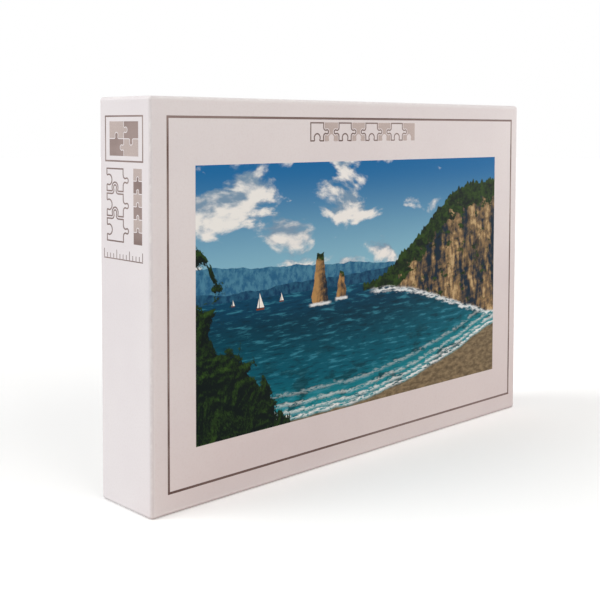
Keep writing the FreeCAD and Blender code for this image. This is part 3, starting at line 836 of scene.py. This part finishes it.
# ---- bag ----
def strips(bm, axis, cuts):
    """Cuts every edge that runs along one axis into equal lengths."""
    edges = [e for e in bm.edges if abs(e.verts[1].co[axis] - e.verts[0].co[axis]) > TOUCH]
    bmesh.ops.subdivide_edges(bm, edges=edges, cuts=cuts, use_grid_fill=True)


def crowded(share, power):
    """Moves a place between -1 and 1 towards the nearer end, where the film creases most."""
    return math.copysign(1 - (1 - abs(share)) ** power, share)


def film_bag():
    """A pillow of clear film drawn tight over the pieces, pleated towards its crimped seals."""
    low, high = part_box("piece_bag")
    middle, half = (low + high) / 2, (high - low) / 2
    filled = 1 - SEAL_WIDE / half.x
    bm = bmesh.new()
    bmesh.ops.create_cube(bm, size=2.0)
    for axis, cuts in BAG_CUTS:
        strips(bm, axis, cuts)
    for vertex in bm.verts:
        s, side, t = vertex.co
        s, t = crowded(s, 1.5), crowded(t, 1.25)
        x, z = middle.x + s * half.x, middle.z + t * half.z
        along = min(abs(s) / filled, 1.0)
        # Full in the middle, and flat at the seals and the long edges.
        plump = (1 - along ** 26) ** (1 / 5) * (1 - abs(t) ** 22) ** (1 / 4)
        # Loose creases all over, and pleats that fade away from the seals.
        crease = noise.fractal(
            Vector((x * 26, side * 3.1, z * 34)), 0.9, 2.0, 5, noise_basis="PERLIN_ORIGINAL")
        sway = noise.noise(Vector((s * 4, z * 40, side)))
        pleat = math.sin(z * 620 + 5 * sway) * math.exp(-(1 - along) * 7)
        slack = max(0.0, 0.5 + 0.5 * crease) * 0.7 + max(0.0, pleat) * 0.7
        push = slack * (2.2 if side < 0 else 0.15) * MM
        # The seals are finely crimped, and curl a little.
        crimp = math.sin((abs(x) - filled * half.x) * 3900) if abs(s) > filled else 0.0
        curl = 0.5 * MM * math.sin(z * 90 + math.copysign(1, s)) * max(0.0, abs(s) - filled)
        vertex.co = (
            x, middle.y + side * max((half.y + push) * plump, FILM_HALF) + crimp * 0.16 * MM
            + curl / (1 - filled), z)
    bag = finish_piece("film_bag", bm, "contents", "clear_film", MATERIAL["film"], smooth=True)
    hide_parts("piece_bag")


for name in ("lid_board", "lid_corner_stays", "base_board", "base_corner_stays", "base_wrap"):
    dress(name, MATERIAL[name])
lid_sheet()
picture_print()
face_line()
band_of_pieces()
side_prints()
film_bag()
for row_number in range(ROWS):
    loose_row(row_number)


# ---- studio ----
def sun(name, towards, strength, spread, colour=(1.0, 1.0, 1.0)):
    data = bpy.data.lights.new(name, "SUN")
    data.energy = strength
    data.color = colour
    data.angle = math.radians(spread)
    made = bpy.data.objects.new(name, data)
    made.rotation_euler = Vector(towards).to_track_quat("Z", "Y").to_euler()
    bpy.context.scene.collection.objects.link(made)


def card():
    """A lit white card to the right, which lightens that end of the picture side."""
    data = bpy.data.lights.new("card", "AREA")
    data.shape = "SQUARE"
    data.size = CARD_WIDE
    data.energy = CARD_POWER
    made = bpy.data.objects.new("card", data)
    made.location = CARD_PLACE
    away = CARD_PLACE - Vector((RIGHT, FRONT, TOP / 2))
    made.rotation_euler = away.to_track_quat("Z", "Y").to_euler()
    bpy.context.scene.collection.objects.link(made)


def seen_or_mirrored(graph):
    """1 for what the camera sees, straight or in a gloss or through the film."""
    path = graph.node("ShaderNodeLightPath")
    straight, gloss, through = (
        path.outputs[f"Is {kind} Ray"] for kind in ("Camera", "Glossy", "Transmission"))
    return graph.math("MAXIMUM", straight, graph.math("MAXIMUM", gloss, through))


def studio():
    """White all round for the camera, with much softer light on the box itself."""
    scene = bpy.context.scene
    scene.view_settings.view_transform = "Standard"
    world = bpy.data.worlds.new("studio")
    world.use_nodes = True
    world.node_tree.nodes.clear()
    g = Graph(world.node_tree)
    light, white = g.node("ShaderNodeBackground"), g.node("ShaderNodeBackground")
    light.inputs["Color"].default_value = (1.0, 0.985, 0.985, 1.0)
    light.inputs["Strength"].default_value = 0.45
    white.inputs["Color"].default_value = (1.0, 1.0, 1.0, 1.0)
    white.inputs["Strength"].default_value = 1.0
    mix = g.node("ShaderNodeMixShader")
    out = g.node("ShaderNodeOutputWorld")
    g.feed(mix.inputs[0], seen_or_mirrored(g))
    g.tree.links.new(light.outputs[0], mix.inputs[1])
    g.tree.links.new(white.outputs[0], mix.inputs[2])
    g.tree.links.new(mix.outputs[0], out.inputs[0])
    scene.world = world
    sun("from_left", (-0.80, 0.45, 0.40), 2.12, 45, (0.985, 1.0, 0.99))
    sun("from_front", (0.15, -0.90, 0.42), 1.37, 60, (1.0, 0.99, 0.92))
    sun("from_above", (0.0, 0.0, 1.0), 0.15, 90)
    card()

    bm = bmesh.new()
    bmesh.ops.create_grid(bm, x_segments=8, y_segments=8, size=FLOOR_HALF)
    mesh = bpy.data.meshes.new("floor")
    bm.to_mesh(mesh)
    bm.free()
    floor = bpy.data.objects.new("floor", mesh)
    scene.collection.objects.link(floor)
    made = bpy.data.materials.new("floor_white")
    made.use_nodes = True
    made.node_tree.nodes.clear()
    g = Graph(made.node_tree)
    shaded, felt = g.node("ShaderNodeBsdfDiffuse"), g.node("ShaderNodeBsdfDiffuse")
    shaded.inputs["Color"].default_value = (0.98, 0.98, 0.98, 1.0)
    lift, seen = g.node("ShaderNodeEmission"), g.node("ShaderNodeAddShader")
    lift.inputs["Color"].default_value = (1.0, 1.0, 1.0, 1.0)
    lift.inputs["Strength"].default_value = 0.15
    g.tree.links.new(shaded.outputs[0], seen.inputs[0])
    g.tree.links.new(lift.outputs[0], seen.inputs[1])
    # What the floor throws back at the box: grey, and warm in front of the picture side.
    x, y, _ = object_place(g)
    away = g.math("SQRT", x * x + y * y)
    warm, plain = (0.29, 0.05, 0.0, 1.0), (0.46, 0.45, 0.46, 1.0)
    in_front = g.ramp(y, 0.0, -0.05) * g.ramp(x, -0.22, -0.14) * g.ramp(away, 0.56, 0.24)
    g.feed(felt.inputs["Color"], g.blend(in_front, plain, warm))
    mix = g.node("ShaderNodeMixShader")
    out = g.node("ShaderNodeOutputMaterial")
    g.feed(mix.inputs[0], seen_or_mirrored(g))
    g.tree.links.new(felt.outputs[0], mix.inputs[1])
    g.tree.links.new(seen.outputs[0], mix.inputs[2])
    g.tree.links.new(mix.outputs[0], out.inputs[0])
    mesh.materials.append(made)


def camera():
    """Eye level with the box's upper edge, in front of its left corner."""
    yaw, pitch, roll = (math.radians(angle) for angle in (YAW, PITCH, ROLL))
    ahead = Vector((
        math.sin(yaw) * math.cos(pitch), math.cos(yaw) * math.cos(pitch), -math.sin(pitch)))
    right = Vector((math.cos(yaw), -math.sin(yaw), 0.0))
    up = right.cross(ahead)
    right, up = (
        right * math.cos(roll) + up * math.sin(roll), up * math.cos(roll) - right * math.sin(roll))
    data = bpy.data.cameras.new("camera")
    data.sensor_width = 36.0
    data.lens = LENS
    data.shift_y = SHIFT_UP
    data.clip_start = 0.01
    made = bpy.data.objects.new("camera", data)
    turned = Matrix((right, up, -ahead)).transposed().to_4x4()
    made.matrix_world = Matrix.Translation(EYE) @ turned
    bpy.context.scene.collection.objects.link(made)
    bpy.context.scene.camera = made


studio()
camera()
